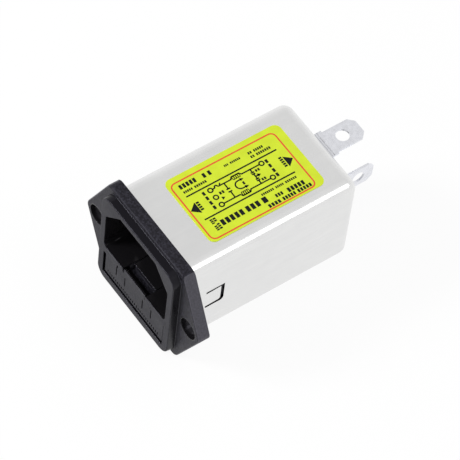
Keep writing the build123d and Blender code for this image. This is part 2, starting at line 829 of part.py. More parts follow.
pieces = {
    "inlet_housing": inlet_housing(),
    "metal_can": metal_can(),
    "line_pin": inlet_pin(pin_spacing / 2, line_pin_z, pin_tip_depth, line_pin_z),
    "neutral_pin": inlet_pin(-pin_spacing / 2, line_pin_z, pin_tip_depth, line_pin_z),
    "earth_pin": inlet_pin(0, earth_pin_z, earth_tip_depth, earth_tag_z),
    "line_fuse_contact": fuse_contact(1),
    "load_fuse_contact": fuse_contact(-1),
    "fuse_drawer": fuse_drawer(),
    "fuse_tube": fuse_tube(live_fuse_y),
    "fuse_cap_right": fuse_cap(live_fuse_y, 1),
    "fuse_cap_left": fuse_cap(live_fuse_y, -1),
    "fuse_wire": fuse_wire(live_fuse_y),
    "spare_fuse_tube": fuse_tube(spare_fuse_y),
    "spare_fuse_cap_right": fuse_cap(spare_fuse_y, 1),
    "spare_fuse_cap_left": fuse_cap(spare_fuse_y, -1),
    "spare_fuse_wire": fuse_wire(spare_fuse_y),
    "filter_board": filter_board(),
    "choke_core": choke_core(),
    "choke_divider": choke_divider(),
    "line_winding": choke_winding(1),
    "neutral_winding": choke_winding(-1),
    "x_capacitor": x_capacitor(),
    "line_y_capacitor": y_capacitor(line_y_capacitor_z),
    "neutral_y_capacitor": y_capacitor(neutral_y_capacitor_z),
    "bleed_resistor": bleed_resistor(),
    "line_bushing": tab_bushing(load_tab_x, line_tab_z),
    "neutral_bushing": tab_bushing(-load_tab_x, neutral_tab_z),
    "line_tab": load_tab(load_tab_x, line_tab_z),
    "neutral_tab": load_tab(-load_tab_x, neutral_tab_z),
    "earth_tab": earth_tab(),
    "earth_rivet": earth_rivet(),
    "line_lead": load_lead(line_lead_start, load_tab_x, line_tab_z),
    "neutral_lead": load_lead(neutral_lead_start, -load_tab_x, neutral_tab_z),
    "earth_lead": earth_lead(),
    "rating_label": rating_label(),
}

os.makedirs("parts", exist_ok=True)
for name, piece in pieces.items():
    export_step(piece, f"parts/{name}.step")
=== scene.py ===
# %% [markdown]
# # A mains inlet line filter
# The real object is a moulded black inlet with a fuse drawer, on a drawn metal can that holds the
# filter. The solids come from a construction model and stay where they are. This lesson gives each
# of them the finish of its real material, adds the print of the label, and sets light and camera.

# %% Load the frame
import math

import bmesh
import bpy
from mathutils import Matrix, Vector


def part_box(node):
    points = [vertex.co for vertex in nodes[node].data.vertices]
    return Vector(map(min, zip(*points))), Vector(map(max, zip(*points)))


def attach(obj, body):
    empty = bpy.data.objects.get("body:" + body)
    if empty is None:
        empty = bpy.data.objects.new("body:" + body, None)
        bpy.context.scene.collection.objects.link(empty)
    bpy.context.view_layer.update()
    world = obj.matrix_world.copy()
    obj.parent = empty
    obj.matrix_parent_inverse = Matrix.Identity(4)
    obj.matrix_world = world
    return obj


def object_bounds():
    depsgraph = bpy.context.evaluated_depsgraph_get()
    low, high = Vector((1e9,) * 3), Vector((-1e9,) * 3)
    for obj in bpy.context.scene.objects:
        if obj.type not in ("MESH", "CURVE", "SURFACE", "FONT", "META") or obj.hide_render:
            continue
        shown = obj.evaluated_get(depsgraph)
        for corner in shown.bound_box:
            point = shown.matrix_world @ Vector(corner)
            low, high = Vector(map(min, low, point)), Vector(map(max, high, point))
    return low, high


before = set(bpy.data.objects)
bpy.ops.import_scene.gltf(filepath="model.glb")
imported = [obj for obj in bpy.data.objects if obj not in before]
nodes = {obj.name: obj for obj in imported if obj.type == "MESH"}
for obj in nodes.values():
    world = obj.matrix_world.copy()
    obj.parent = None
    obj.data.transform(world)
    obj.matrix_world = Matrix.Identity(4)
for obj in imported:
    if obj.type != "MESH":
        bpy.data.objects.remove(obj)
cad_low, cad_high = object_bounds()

MM = 0.001


def size_in_mm(low, high):
    return [round((end - start) / MM, 1) for start, end in zip(low, high)]


print("solids:", len(nodes), "size in mm:", size_in_mm(cad_low, cad_high))

# %% [markdown]
# The camera stands high in front of the object and to its right, with a long lens, so that
# parallel edges stay nearly parallel. Its place is given by the point that it looks at, the two
# angles round that point, the distance and a small roll. The lens is worked out from the width
# that the picture shows at that distance.

# %% Camera
LOOK_AT = Vector((3.9, 17.8, 5.0)) * MM
AZIMUTH = math.radians(48.78)
ELEVATION = math.radians(55.28)
ROLL = math.radians(7.57)
DISTANCE = 723.5 * MM
PICTURE_WIDTH = 102.7 * MM
NEAREST_SEEN = 10 * MM
SENSOR_WIDTH = 36.0

back = Vector((
    math.sin(AZIMUTH) * math.cos(ELEVATION),
    -math.cos(AZIMUTH) * math.cos(ELEVATION),
    math.sin(ELEVATION)))
camera_data = bpy.data.cameras.new("camera")
camera_data.sensor_width = SENSOR_WIDTH
camera_data.lens = SENSOR_WIDTH * DISTANCE / PICTURE_WIDTH
camera_data.clip_start = NEAREST_SEEN
camera = bpy.data.objects.new("camera", camera_data)
turn = back.to_track_quat("Z", "Y").to_matrix().to_4x4() @ Matrix.Rotation(ROLL, 4, "Z")
camera.matrix_world = Matrix.Translation(LOOK_AT + back * DISTANCE) @ turn
bpy.context.scene.collection.objects.link(camera)
bpy.context.scene.camera = camera
bpy.context.scene.view_settings.view_transform = "Standard"
print("lens in mm:", round(camera_data.lens, 1))

# %% [markdown]
# Materials are built from nodes. A single helper adds a node: plain values go onto its sockets, a
# node or a socket given as a value is linked, and everything else is a setting of the node. Colours
# are written as on a screen and turned linear by one function. `scale` turns the size of a
# feature in millimetres into the scale of a noise texture on Object coordinates, which are metres.
#
# Most values of a noise lie in the wide range below, and its middle part is the narrow one. A face
# counts as looking along an axis when more than a set share of its normal lies on that axis.

# %% Helpers for materials
NOISE_WIDE = (0.3, 0.7)
NOISE_NARROW = (0.35, 0.65)
FACING_SHARE = 0.5


def linear(hex_colour):
    """Screen colour, written as RRGGBB, as linear RGBA."""
    channels = [int(hex_colour[i:i + 2], 16) / 255 for i in (0, 2, 4)]
    return [c / 12.92 if c <= 0.04045 else ((c + 0.055) / 1.055) ** 2.4 for c in channels] + [1.0]


def add(tree, kind, inputs=None, **settings):
    """Adds a node with its settings, and sets or links its inputs.

    An input is given by its place or its name. Sockets that the settings put out of use are
    passed over, and a node given as a value is linked from its first output in use.
    """
    node = tree.nodes.new("ShaderNode" + kind)
    for name, value in settings.items():
        setattr(node, name, value)
    for key, value in (inputs or {}).items():
        by_name = [s for s in node.inputs if s.name == key and s.enabled]
        socket = by_name[0] if by_name else node.inputs[key]
        if isinstance(value, bpy.types.Node):
            value = [s for s in value.outputs if s.enabled][0]
        if isinstance(value, bpy.types.NodeSocket):
            tree.links.new(value, socket)
        else:
            socket.default_value = value
    return node


def scale(feature_mm):
    return 1 / (feature_mm * MM)


def empty_material(name):
    material = bpy.data.materials.new(name)
    material.use_nodes = True
    material.node_tree.nodes.clear()
    return material, material.node_tree


def in_box(tree, place, middle, half):
    """Node that is 1 inside a box, given by its middle and half its size, and 0 outside."""
    offset = add(tree, "VectorMath", {0: place, 1: middle}, operation="SUBTRACT")
    share = add(tree, "VectorMath", {0: offset, 1: half}, operation="DIVIDE")
    share = add(tree, "VectorMath", {0: share}, operation="ABSOLUTE")
    sides = add(tree, "SeparateXYZ", {"Vector": share}).outputs
    widest = add(tree, "Math", {0: sides["X"], 1: sides["Y"]}, operation="MAXIMUM")
    widest = add(tree, "Math", {0: widest, 1: sides["Z"]}, operation="MAXIMUM")
    return add(tree, "Math", {0: widest, 1: 1.0}, operation="LESS_THAN")


def dress(material, *names):
    """Gives the material to solids of the construction model."""
    for name in names:
        mesh = nodes[name].data
        mesh.materials.clear()
        mesh.materials.append(material)
    print(material.name, "on", ", ".join(names))


# %% [markdown]
# The inlet is moulded from glass-filled polyester with flame retardant. Outside, the mould is
# spark-eroded, which gives a dense, slightly violet black a fine even grain and a satin sheen. The
# cores that form the socket and the two screw holes are polished, and the sloping sides of the
# bezel are nearly so. A box round the socket, a circle round each screw hole and a depth for the
# bezel tell them apart. The socket and the screw holes are also painted a plain darker colour, and
# the bezel's sides the darkest colour of the grain without its speckle: this is painted shade, in
# the recesses and in the corner where the bezel meets the flange. A paler colour is added on the
# slanted ends of the flange, which is painted light for the light that falls on them from the side.
# Every edge of a moulding is slightly rounded, most of all round the bezel's sides, which the bevel
# node adds to the shading. The real grain is about a tenth of a millimetre across, too fine to show,
# so it is drawn about three times coarser, and deeper to match.

# %% Moulded inlet and drawer
SOCKET_MIDDLE = Vector((0.0, 4.2, 5.2)) * MM
SOCKET_HALF = Vector((12.3, 8.9, 8.4)) * MM
SCREW_HOLE_X = 18.0 * MM
SCREW_HOLE_REACH = 2.9 * MM
BEZEL_FOOT_Y = -3.03 * MM
EDGE_RADIUS = 0.22 * MM
BEZEL_EDGE_RADIUS = 0.34 * MM
GRAIN_DEPTH = 0.1 * MM
FLOW_MM = 5.0
GRAIN_IN_SHEEN = 0.6
SPECKLE_RANGE = (0.42, 0.72)
# Painted shade: the plain darker colour of the socket and the screw holes.
INSIDE_SHADE_COLOUR = "171618"
# Painted light: added to the ends of the flange for the light falling on them from the side.
END_LIGHT_COLOUR = "49484d"
SHEEN_COLOUR = "f0eeff"
SIDE_ROUGHNESS = 0.26


def places_of_the_mould(tree, place, facing):
    """Three nodes that are 1 in the socket and screw holes, on the bezel's sides, and on the ends."""
    in_socket = in_box(tree, place, SOCKET_MIDDLE, SOCKET_HALF)
    parts = add(tree, "SeparateXYZ", {"Vector": place}).outputs
    beside = add(tree, "Math", {0: parts["X"]}, operation="ABSOLUTE")
    beside = add(tree, "Math", {0: beside, 1: SCREW_HOLE_X}, operation="SUBTRACT")
    arm = add(tree, "CombineXYZ", {"X": beside, "Z": parts["Z"]})
    reach = add(tree, "VectorMath", {0: arm}, operation="LENGTH").outputs["Value"]
    in_hole = add(tree, "Math", {0: reach, 1: SCREW_HOLE_REACH}, operation="LESS_THAN")
    inside = add(tree, "Math", {0: in_socket, 1: in_hole}, operation="MAXIMUM")
    looks = add(tree, "VectorMath", {0: facing}, operation="ABSOLUTE")
    looks = add(tree, "SeparateXYZ", {"Vector": looks}).outputs
    upright = add(tree, "Math", {0: looks["Y"], 1: FACING_SHARE}, operation="LESS_THAN")
    on_bezel = add(tree, "Math", {0: parts["Y"], 1: BEZEL_FOOT_Y}, operation="LESS_THAN")
    on_side = add(tree, "Math", {0: upright, 1: on_bezel}, operation="MULTIPLY")
    painted_light_on_end = add(tree, "Math", {0: looks["X"], 1: FACING_SHARE}, operation="GREATER_THAN")
    painted_light_on_end = add(tree, "Math", {0: painted_light_on_end, 1: on_bezel}, operation="SUBTRACT", use_clamp=True)
    painted_light_on_end = add(tree, "Math", {0: painted_light_on_end, 1: inside}, operation="SUBTRACT", use_clamp=True)
    return inside, on_side, painted_light_on_end


def spark_eroded_polyester(name, dark, light, grain_mm, rough_low, rough_high, polish):
    material, tree = empty_material(name)
    coordinates = add(tree, "TexCoord").outputs
    place = coordinates["Object"]
    inside, on_side, painted_light_on_end = places_of_the_mould(tree, place, coordinates["Normal"])
    smooth = add(tree, "Math", {0: inside, 1: on_side}, operation="MAXIMUM")
    grain = add(tree, "TexNoise", {"Vector": place, "Scale": scale(grain_mm), "Detail": 3.0})
    flow = add(tree, "TexNoise", {"Vector": place, "Scale": scale(FLOW_MM), "Detail": 4.0})
    speckle = add(tree, "MapRange", {
        "Value": grain, "From Min": SPECKLE_RANGE[0], "From Max": SPECKLE_RANGE[1]})
    colour = add(tree, "Mix", {
        "Factor": speckle, "A": linear(dark), "B": linear(light)}, data_type="RGBA")
    # Painted shade: the bezel's sides take the darkest colour of the grain, without its speckle.
    colour = add(tree, "Mix", {
        "Factor": on_side, "A": colour, "B": linear(dark)}, data_type="RGBA")
    # Painted shade in the socket and the screw holes.
    colour = add(tree, "Mix", {
        "Factor": inside, "A": colour, "B": linear(INSIDE_SHADE_COLOUR)}, data_type="RGBA")
    # Painted light added on the ends of the flange.
    colour = add(tree, "Mix", {
        "Factor": painted_light_on_end, "A": colour, "B": linear(END_LIGHT_COLOUR)}, data_type="RGBA", blend_type="ADD")
    uneven = add(tree, "Mix", {"Factor": GRAIN_IN_SHEEN, "A": flow, "B": grain}, data_type="FLOAT")
    sheen = add(tree, "MapRange", {
        "Value": uneven, "From Min": NOISE_NARROW[0], "From Max": NOISE_NARROW[1],
        "To Min": rough_low, "To Max": rough_high})
    sheen = add(tree, "Mix", {"Factor": inside, "A": sheen, "B": polish}, data_type="FLOAT")
    sheen = add(tree, "Mix", {"Factor": on_side, "A": sheen, "B": SIDE_ROUGHNESS}, data_type="FLOAT")
    depth = add(tree, "Mix", {"Factor": smooth, "A": GRAIN_DEPTH, "B": 0.0}, data_type="FLOAT")
    radius = add(tree, "Mix", {
        "Factor": on_side, "A": EDGE_RADIUS, "B": BEZEL_EDGE_RADIUS}, data_type="FLOAT")
    edge = add(tree, "Bevel", {"Radius": radius}, samples=8)
    relief = add(tree, "Bump", {"Height": grain, "Distance": depth, "Strength": 1.0, "Normal": edge})
    shader = add(tree, "BsdfPrincipled", {
        "Base Color": colour, "Roughness": sheen, "Specular IOR Level": 0.22,
        "Specular Tint": linear(SHEEN_COLOUR), "Normal": relief})
    add(tree, "OutputMaterial", {"Surface": shader})
    return material


inlet_polyester = spark_eroded_polyester(
    "spark_eroded_polyester_inlet", dark="0e0d11", light="34333c",
    grain_mm=0.36, rough_low=0.42, rough_high=0.58, polish=0.15)
drawer_polyester = spark_eroded_polyester(
    "spark_eroded_polyester_drawer", dark="0a090d", light="302f38",
    grain_mm=0.32, rough_low=0.4, rough_high=0.56, polish=0.22)
dress(inlet_polyester, "inlet_housing")
dress(drawer_polyester, "fuse_drawer")

# %% [markdown]
# The can is deep-drawn from tinned steel sheet, and tin has a pale, neutral shine. Drawing leaves
# faint soft streaks along its length, which are a noise stretched along Y in the colour and the
# relief. Real streaks are finer than a pixel, so they are drawn as coarse as they need to show. A
# slow second noise clouds the colour and the gloss, as handling and the drawing oil do.
# Where the tongues are sheared out of the sides, the cut shows bare, dull steel, which is painted
# nearly black, darker than bare steel: painted shade in the narrow slots. Those faces are the ones
# near a tongue that don't look sideways. One box covers the tongues of both sides.

# %% Drawn can
TONGUES_MIDDLE = Vector((0.0, 7.0, 0.45)) * MM
TONGUES_HALF = Vector((20.0, 3.2, 3.6)) * MM
STREAK_STRETCH = (1.0, 0.05, 1.0)
STREAK_MM = 0.6
STREAK_DEPTH = 0.004 * MM
CLOUD_MM = 5.0
CLOUDS_IN_COLOUR = 0.6
# Nearly black: bare, dull steel darkened further with painted shade of the narrow slots.
CUT_AND_SHADE_COLOUR = "161618"
CUT_ROUGHNESS = 0.6


def drawn_tinplate():
    material, tree = empty_material("drawn_tinplate")
    coordinates = add(tree, "TexCoord").outputs
    place = coordinates["Object"]
    drawn = add(tree, "Mapping", {"Vector": place, "Scale": STREAK_STRETCH})
    streaks = add(tree, "TexNoise", {"Vector": drawn, "Scale": scale(STREAK_MM), "Detail": 4.0})
    clouds = add(tree, "TexNoise", {"Vector": place, "Scale": scale(CLOUD_MM), "Detail": 4.0})
    mottle = add(tree, "Mix", {
        "Factor": CLOUDS_IN_COLOUR, "A": streaks, "B": clouds}, data_type="FLOAT")
    tin = add(tree, "Mix", {
        "Factor": mottle, "A": linear("dcdcdc"), "B": linear("efefee")}, data_type="RGBA")
    gloss = add(tree, "MapRange", {
        "Value": clouds, "From Min": NOISE_WIDE[0], "From Max": NOISE_WIDE[1],
        "To Min": 0.19, "To Max": 0.26})
    near_tongue = in_box(tree, place, TONGUES_MIDDLE, TONGUES_HALF)
    sideways = add(tree, "SeparateXYZ", {"Vector": coordinates["Normal"]}).outputs["X"]
    sideways = add(tree, "Math", {0: sideways}, operation="ABSOLUTE")
    cut = add(tree, "Math", {0: sideways, 1: FACING_SHARE}, operation="LESS_THAN")
    cut = add(tree, "Math", {0: cut, 1: near_tongue}, operation="MULTIPLY")
    # The cut faces: bare steel, darkened with painted shade.
    colour = add(tree, "Mix", {"Factor": cut, "A": tin, "B": linear(CUT_AND_SHADE_COLOUR)}, data_type="RGBA")
    gloss = add(tree, "Mix", {"Factor": cut, "A": gloss, "B": CUT_ROUGHNESS}, data_type="FLOAT")
    relief = add(tree, "Bump", {"Height": streaks, "Distance": STREAK_DEPTH, "Strength": 0.12})
    shader = add(tree, "BsdfPrincipled", {
        "Base Color": colour, "Metallic": 1.0, "Roughness": gloss, "Normal": relief})
    add(tree, "OutputMaterial", {"Surface": shader})
    return material


dress(drawn_tinplate(), "metal_can")

# %% [markdown]
# Many smaller pieces have one finish in common: a single noise gives the surface its mottle, its
# uneven gloss and its slight relief. A mottle that is too fine to show on the real material, such
# as that of ferrite, ink or wire, is drawn as coarse as it needs to show. Where a piece was drawn
# or extruded, the noise is stretched along one axis. What else the shader needs, such as metal or a
# clear coat, is set on its own sockets. The numbers of a finish are the size of its
# noise in millimetres, its lowest and its highest roughness, and the depth of its relief in
# millimetres.

# %% Mottled finish
NOT_STRETCHED = (1.0, 1.0, 1.0)
DRAWN_ALONG_X = (0.2, 1.0, 1.0)
DRAWN_ALONG_Y = (1.0, 0.2, 1.0)


def mottled(name, dark, light, feature_mm, rough_low, rough_high, depth_mm,
            stretch=NOT_STRETCHED, **sockets):
    material, tree = empty_material(name)
    place = add(tree, "TexCoord").outputs["Object"]
    drawn = add(tree, "Mapping", {"Vector": place, "Scale": stretch})
    mottle = add(tree, "TexNoise", {"Vector": drawn, "Scale": scale(feature_mm), "Detail": 3.0})
    spread = add(tree, "MapRange", {
        "Value": mottle, "From Min": NOISE_NARROW[0], "From Max": NOISE_NARROW[1]})
    colour = add(tree, "Mix", {
        "Factor": spread, "A": linear(dark), "B": linear(light)}, data_type="RGBA")
    gloss = add(tree, "MapRange", {
        "Value": mottle, "From Min": NOISE_WIDE[0], "From Max": NOISE_WIDE[1],
        "To Min": rough_low, "To Max": rough_high})
    relief = add(tree, "Bump", {"Height": mottle, "Distance": depth_mm * MM, "Strength": 0.3})
    shader = add(tree, "BsdfPrincipled", {
        "Base Color": colour, "Roughness": gloss, "Normal": relief})
    for socket_name, value in sockets.items():
        shader.inputs[socket_name.replace("_", " ")].default_value = value
    add(tree, "OutputMaterial", {"Surface": shader})
    return material


# %% [markdown]
# The rear tabs are brass strip, blanked and then tinned by dipping, so they are softer and bluer
# than the can. The pins and the caps of the fuses are nickel plated, which is smoother and warm.
# The contact springs are plated bronze, which is a pale yellow. The rivet is plated steel, grey and
# a little rough. Fuse wire is drawn, so its mottle runs along it. Magnet wire is copper under a
# clear brown enamel.

# %% Metals
tinned_brass = mottled(
    "dip_tinned_brass", "e3e4e9", "edeef3", 0.9, 0.26, 0.34, 0.004, Metallic=1.0)
nickel_plate = mottled(
    "nickel_plated_brass", "c9c5bd", "d8d4cc", 1.5, 0.17, 0.26, 0.01, Metallic=1.0)
plated_bronze = mottled(
    "plated_bronze_spring", "bfae8e", "cdbd9f", 1.2, 0.25, 0.34, 0.01, Metallic=1.0)
rivet_steel = mottled(
    "plated_steel_rivet", "c4c4c2", "d6d6d4", 0.7, 0.25, 0.36, 0.02, Metallic=1.0)
fuse_alloy = mottled(
    "drawn_fuse_wire", "b9b9b6", "c9c9c6", 0.3, 0.3, 0.4, 0.005, DRAWN_ALONG_X, Metallic=1.0)
magnet_wire = mottled(
    "enamelled_copper", "a8582a", "bc6a38", 0.4, 0.22, 0.32, 0.005, DRAWN_ALONG_Y, Metallic=1.0,
    Coat_Weight=0.8, Coat_Roughness=0.08)
dress(tinned_brass, "line_tab", "neutral_tab", "earth_tab")
dress(nickel_plate, "line_pin", "neutral_pin", "earth_pin")
dress(nickel_plate, "fuse_cap_right", "fuse_cap_left", "spare_fuse_cap_right", "spare_fuse_cap_left")
dress(plated_bronze, "line_fuse_contact", "load_fuse_contact")
dress(rivet_steel, "earth_rivet")
dress(fuse_alloy, "fuse_wire", "spare_fuse_wire")
dress(magnet_wire, "line_winding", "neutral_winding")

# %% [markdown]
# The label is a polyester film printed yellow-green and varnished. Its colour is even, with a
# faint mottle from the glue under it, and the varnish adds a thin clear coat. The red ink is
# varnished too. The black ink isn't, and is duller.

# %% Label film and inks
varnish = {"Specular_IOR_Level": 0.3, "Coat_Weight": 0.15, "Coat_Roughness": 0.2}
label_film = mottled(
    "varnished_label_film", "cddf28", "d4e72c", 2.5, 0.38, 0.48, 0.01, **varnish)
red_ink = mottled(
    "red_screen_ink", "df4a2c", "e65434", 0.6, 0.4, 0.5, 0.01, **varnish)
black_ink = mottled(
    "black_screen_ink", "101314", "181c1c", 0.6, 0.5, 0.6, 0.01, Specular_IOR_Level=0.12)
dress(label_film, "rating_label")

# %% [markdown]
# Inside the can are a laminate board, a ferrite ring with windings, capacitors and a resistor.
# They are closed in, and each still has the finish of its real material, because a model can be
# taken apart on the screen. Phenolic paper is brown with a satin face, and sintered ferrite is dull
# and nearly black. Moulded nylon is smooth and milky, or black in the bushings. The film capacitor
# has a glossy yellow shell, and the ceramic ones are dipped in a thick, shiny blue lacquer.
# Insulation is extruded over its wire, so its mottle is long and faint.

# %% Board, ferrite, capacitors and plain plastics
laminate = mottled(
    "paper_phenolic_laminate", "8d6a35", "a07c42", 1.4, 0.46, 0.56, 0.02)
ferrite = mottled(
    "sintered_ferrite", "2a2a2c", "38383a", 0.4, 0.56, 0.66, 0.02)
divider_nylon = mottled(
    "moulded_nylon", "d6d1c0", "e0dccd", 2.0, 0.41, 0.51, 0.02)
bushing_nylon = mottled(
    "moulded_bushing_nylon", "0f0f13", "1a1a1f", 0.4, 0.41, 0.51, 0.02)
film_shell = mottled(
    "film_capacitor_shell", "d9bd2c", "e3c836", 1.0, 0.31, 0.41, 0.02,
    Coat_Weight=0.2, Coat_Roughness=0.1)
ceramic_coat = mottled(
    "dipped_ceramic_coat", "1f4f9d", "2a5cab", 1.2, 0.26, 0.36, 0.08,
    Coat_Weight=0.6, Coat_Roughness=0.1)
brown_insulation = mottled(
    "extruded_brown_insulation", "5b3520", "68402a", 1.5, 0.36, 0.46, 0.02, DRAWN_ALONG_Y)
blue_insulation = mottled(
    "extruded_blue_insulation", "1f4f94", "2a5aa0", 1.5, 0.36, 0.46, 0.02, DRAWN_ALONG_Y)
dress(laminate, "filter_board")
dress(ferrite, "choke_core")
dress(divider_nylon, "choke_divider")
dress(bushing_nylon, "line_bushing", "neutral_bushing")
dress(film_shell, "x_capacitor")
dress(ceramic_coat, "line_y_capacitor", "neutral_y_capacitor")
dress(brown_insulation, "line_lead")
dress(blue_insulation, "neutral_lead")

# %% [markdown]
# The earth wire's insulation is green with a yellow stripe. The stripe starts at a height just
# over the wire's middle, taken from the Z coordinate, so it follows the wire's length.

# %% Earth insulation
STRIPE_START = 0.25 * MM
STRIPE_FULL = 0.3 * MM
SHEATH_MOTTLE_MM = 1.5


def striped_insulation():
    material, tree = empty_material("extruded_green_yellow_insulation")
    low, high = [Vector(corner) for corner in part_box("earth_lead")]
    middle = (low.z + high.z) / 2
    place = add(tree, "TexCoord").outputs["Object"]
    height = add(tree, "SeparateXYZ", {"Vector": place}).outputs["Z"]
    stripe = add(tree, "MapRange", {
        "Value": height, "From Min": middle + STRIPE_START, "From Max": middle + STRIPE_FULL})
    colour = add(tree, "Mix", {
        "Factor": stripe, "A": linear("2c7a3a"), "B": linear("e2cf35")}, data_type="RGBA")
    mottle = add(tree, "TexNoise", {"Vector": place, "Scale": scale(SHEATH_MOTTLE_MM)})
    gloss = add(tree, "MapRange", {"Value": mottle, "To Min": 0.3, "To Max": 0.5})
    shader = add(tree, "BsdfPrincipled", {"Base Color": colour, "Roughness": gloss})
    add(tree, "OutputMaterial", {"Surface": shader})
    return material


dress(striped_insulation(), "earth_lead")

# %% [markdown]
# The resistor has a beige lacquer with colour rings. The rings stand at equal steps along X, and
# the last part of each step is coloured, so the remainder of the X coordinate draws them all.

# %% Resistor lacquer
RING_PITCH = 1.3 * MM
RING_START = 0.85 * MM
RING_FULL = 0.867 * MM
LACQUER_MOTTLE_MM = 1.0


def ringed_lacquer():
    material, tree = empty_material("ringed_resistor_lacquer")
    place = add(tree, "TexCoord").outputs["Object"]
    across = add(tree, "SeparateXYZ", {"Vector": place}).outputs["X"]
    steps = add(tree, "Math", {0: across, 1: RING_PITCH}, operation="MODULO")
    rings = add(tree, "MapRange", {"Value": steps, "From Min": RING_START, "From Max": RING_FULL})
    colour = add(tree, "Mix", {
        "Factor": rings, "A": linear("c9a877"), "B": linear("6b2f20")}, data_type="RGBA")
    mottle = add(tree, "TexNoise", {"Vector": place, "Scale": scale(LACQUER_MOTTLE_MM)})
    gloss = add(tree, "MapRange", {"Value": mottle, "To Min": 0.25, "To Max": 0.45})
    shader = add(tree, "BsdfPrincipled", {
        "Base Color": colour, "Roughness": gloss, "Coat Weight": 0.4, "Coat Roughness": 0.1})
    add(tree, "OutputMaterial", {"Surface": shader})
    return material


dress(ringed_lacquer(), "bleed_resistor")

# %% [markdown]
# A fuse's tube is drawn soda glass with a faint green tint. A glass material needs full
# transmission, and faint ripples from drawing run along the tube, which lies along X.

# %% Fuse glass
RIPPLE_STRETCH = (0.1, 1.0, 1.0)
RIPPLE_MM = 0.8
RIPPLE_DEPTH = 0.01 * MM


def drawn_glass():
    material, tree = empty_material("drawn_soda_glass")
    place = add(tree, "TexCoord").outputs["Object"]
    drawn = add(tree, "Mapping", {"Vector": place, "Scale": RIPPLE_STRETCH})
    ripple = add(tree, "TexNoise", {"Vector": drawn, "Scale": scale(RIPPLE_MM)})
    relief = add(tree, "Bump", {"Height": ripple, "Distance": RIPPLE_DEPTH, "Strength": 0.1})
    shader = add(tree, "BsdfPrincipled", {
        "Base Color": linear("eef5f1"), "Roughness": 0.03, "IOR": 1.52,
        "Transmission Weight": 1.0, "Normal": relief})
    add(tree, "OutputMaterial", {"Surface": shader})
    return material


dress(drawn_glass(), "fuse_tube", "spare_fuse_tube")

# %% [markdown]
# The label's print is modelled as thin ink on the film. Every stroke is drawn by a pen: a short
# edge across the stroke is carried along straight runs and spun round arcs, which is how a plotter
# would do it. The pen works on the label's own plane in millimetres, with `along` from the label's
# front edge towards the tabs, the way its print reads, and `up` from its right edge to its left.

# %% Pen for the label's print
INK_THICKNESS = 0.02 * MM
WELD_DISTANCE = 0.001 * MM
ARC_STEP = math.radians(15)
label_low, label_high = [Vector(corner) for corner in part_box("rating_label")]


def on_label(along, up):
    """Point on the film, from millimetres along and up the label."""
    return Vector((label_high.x - up * MM, label_low.y + along * MM, label_high.z))


def heading_of(degrees):
    """Direction on the label's plane: 0 is along, 90 is up."""
    angle = math.radians(degrees)
    return Vector((-math.sin(angle), math.cos(angle), 0.0))


def only(kind, geometry):
    return [item for item in geometry if isinstance(item, kind)]


def stroke(bm, start, degrees, width, moves):
    """Draws one stroke. A move is a length, or a radius and the degrees to turn left round it."""
    point = on_label(*start)
    side = heading_of(degrees + 90)
    half = width * MM / 2
    ends = [bm.verts.new(point + side * half), bm.verts.new(point - side * half)]
    edge = bm.edges.new(ends)
    for move in moves:
        if isinstance(move, tuple):
            radius, turned = move
            centre = sum((v.co for v in edge.verts), Vector()) / 2
            centre += heading_of(degrees + math.copysign(90, turned)) * radius * MM
            steps = max(1, round(abs(math.radians(turned)) / ARC_STEP))
            spun = bmesh.ops.spin(
                bm, geom=[edge, *edge.verts], cent=centre, axis=(0, 0, 1),
                angle=math.radians(turned), steps=steps, use_duplicate=False)
            edge = only(bmesh.types.BMEdge, spun["geom_last"])[0]
            degrees += turned
        else:
            grown = bmesh.ops.extrude_edge_only(bm, edges=[edge])
            edge = only(bmesh.types.BMEdge, grown["geom"])[0]
            bmesh.ops.translate(bm, verts=list(edge.verts), vec=heading_of(degrees) * move * MM)


def ring(bm, along, up, radius, width):
    """Closed circle drawn by one full turn of the pen."""
    stroke(bm, (along, up - radius), 0, width, [(radius, 360)])


def arrowhead(bm, base_along, tip_along, up, half_height):
    """Solid triangle that points along the label, or against it when its tip comes first."""
    corners = [(base_along, up - half_height), (tip_along, up), (base_along, up + half_height)]
    bm.faces.new([bm.verts.new(on_label(*corner)) for corner in corners])


def print_piece(name, bm, ink):
    """Gives the flat strokes their thickness and makes them a piece on the label."""
    bmesh.ops.remove_doubles(bm, verts=bm.verts, dist=WELD_DISTANCE)
    grown = bmesh.ops.extrude_face_region(bm, geom=list(bm.faces), use_keep_orig=True)
    raised = only(bmesh.types.BMVert, grown["geom"])
    bmesh.ops.translate(bm, verts=raised, vec=(0, 0, INK_THICKNESS))
    bmesh.ops.recalc_face_normals(bm, faces=bm.faces)
    mesh = bpy.data.meshes.new(name)
    bm.to_mesh(mesh)
    bm.free()
    mesh.materials.append(ink)
    piece = bpy.data.objects.new(name, mesh)
    bpy.context.scene.collection.objects.link(piece)
    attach(piece, "filter")
    print(name, "faces:", len(mesh.polygons))


print("label in mm:", size_in_mm(label_low, label_high))

# %% [markdown]
# A red line frames the print, closer to the label's front and right edges than to the others.
# Two black rules part the print into three fields.

# %% Red frame and black rules
FRAME_ALONG = (0.75, 28.9)
FRAME_UP = (0.65, 17.7)
FRAME_CORNER = 1.3
FRAME_LINE = 0.34
RULE_LINE = 0.36
RULES_ALONG = (2.3, 26.8)
RULES_UP = (6.1, 13.3)

frame_ink = bmesh.new()
run_along = FRAME_ALONG[1] - FRAME_ALONG[0] - 2 * FRAME_CORNER
run_up = FRAME_UP[1] - FRAME_UP[0] - 2 * FRAME_CORNER
corner_arc = (FRAME_CORNER, 90)
stroke(frame_ink, (FRAME_ALONG[0] + FRAME_CORNER, FRAME_UP[0]), 0, FRAME_LINE,
       [run_along, corner_arc, run_up, corner_arc] * 2)
print_piece("label_frame_line", frame_ink, red_ink)

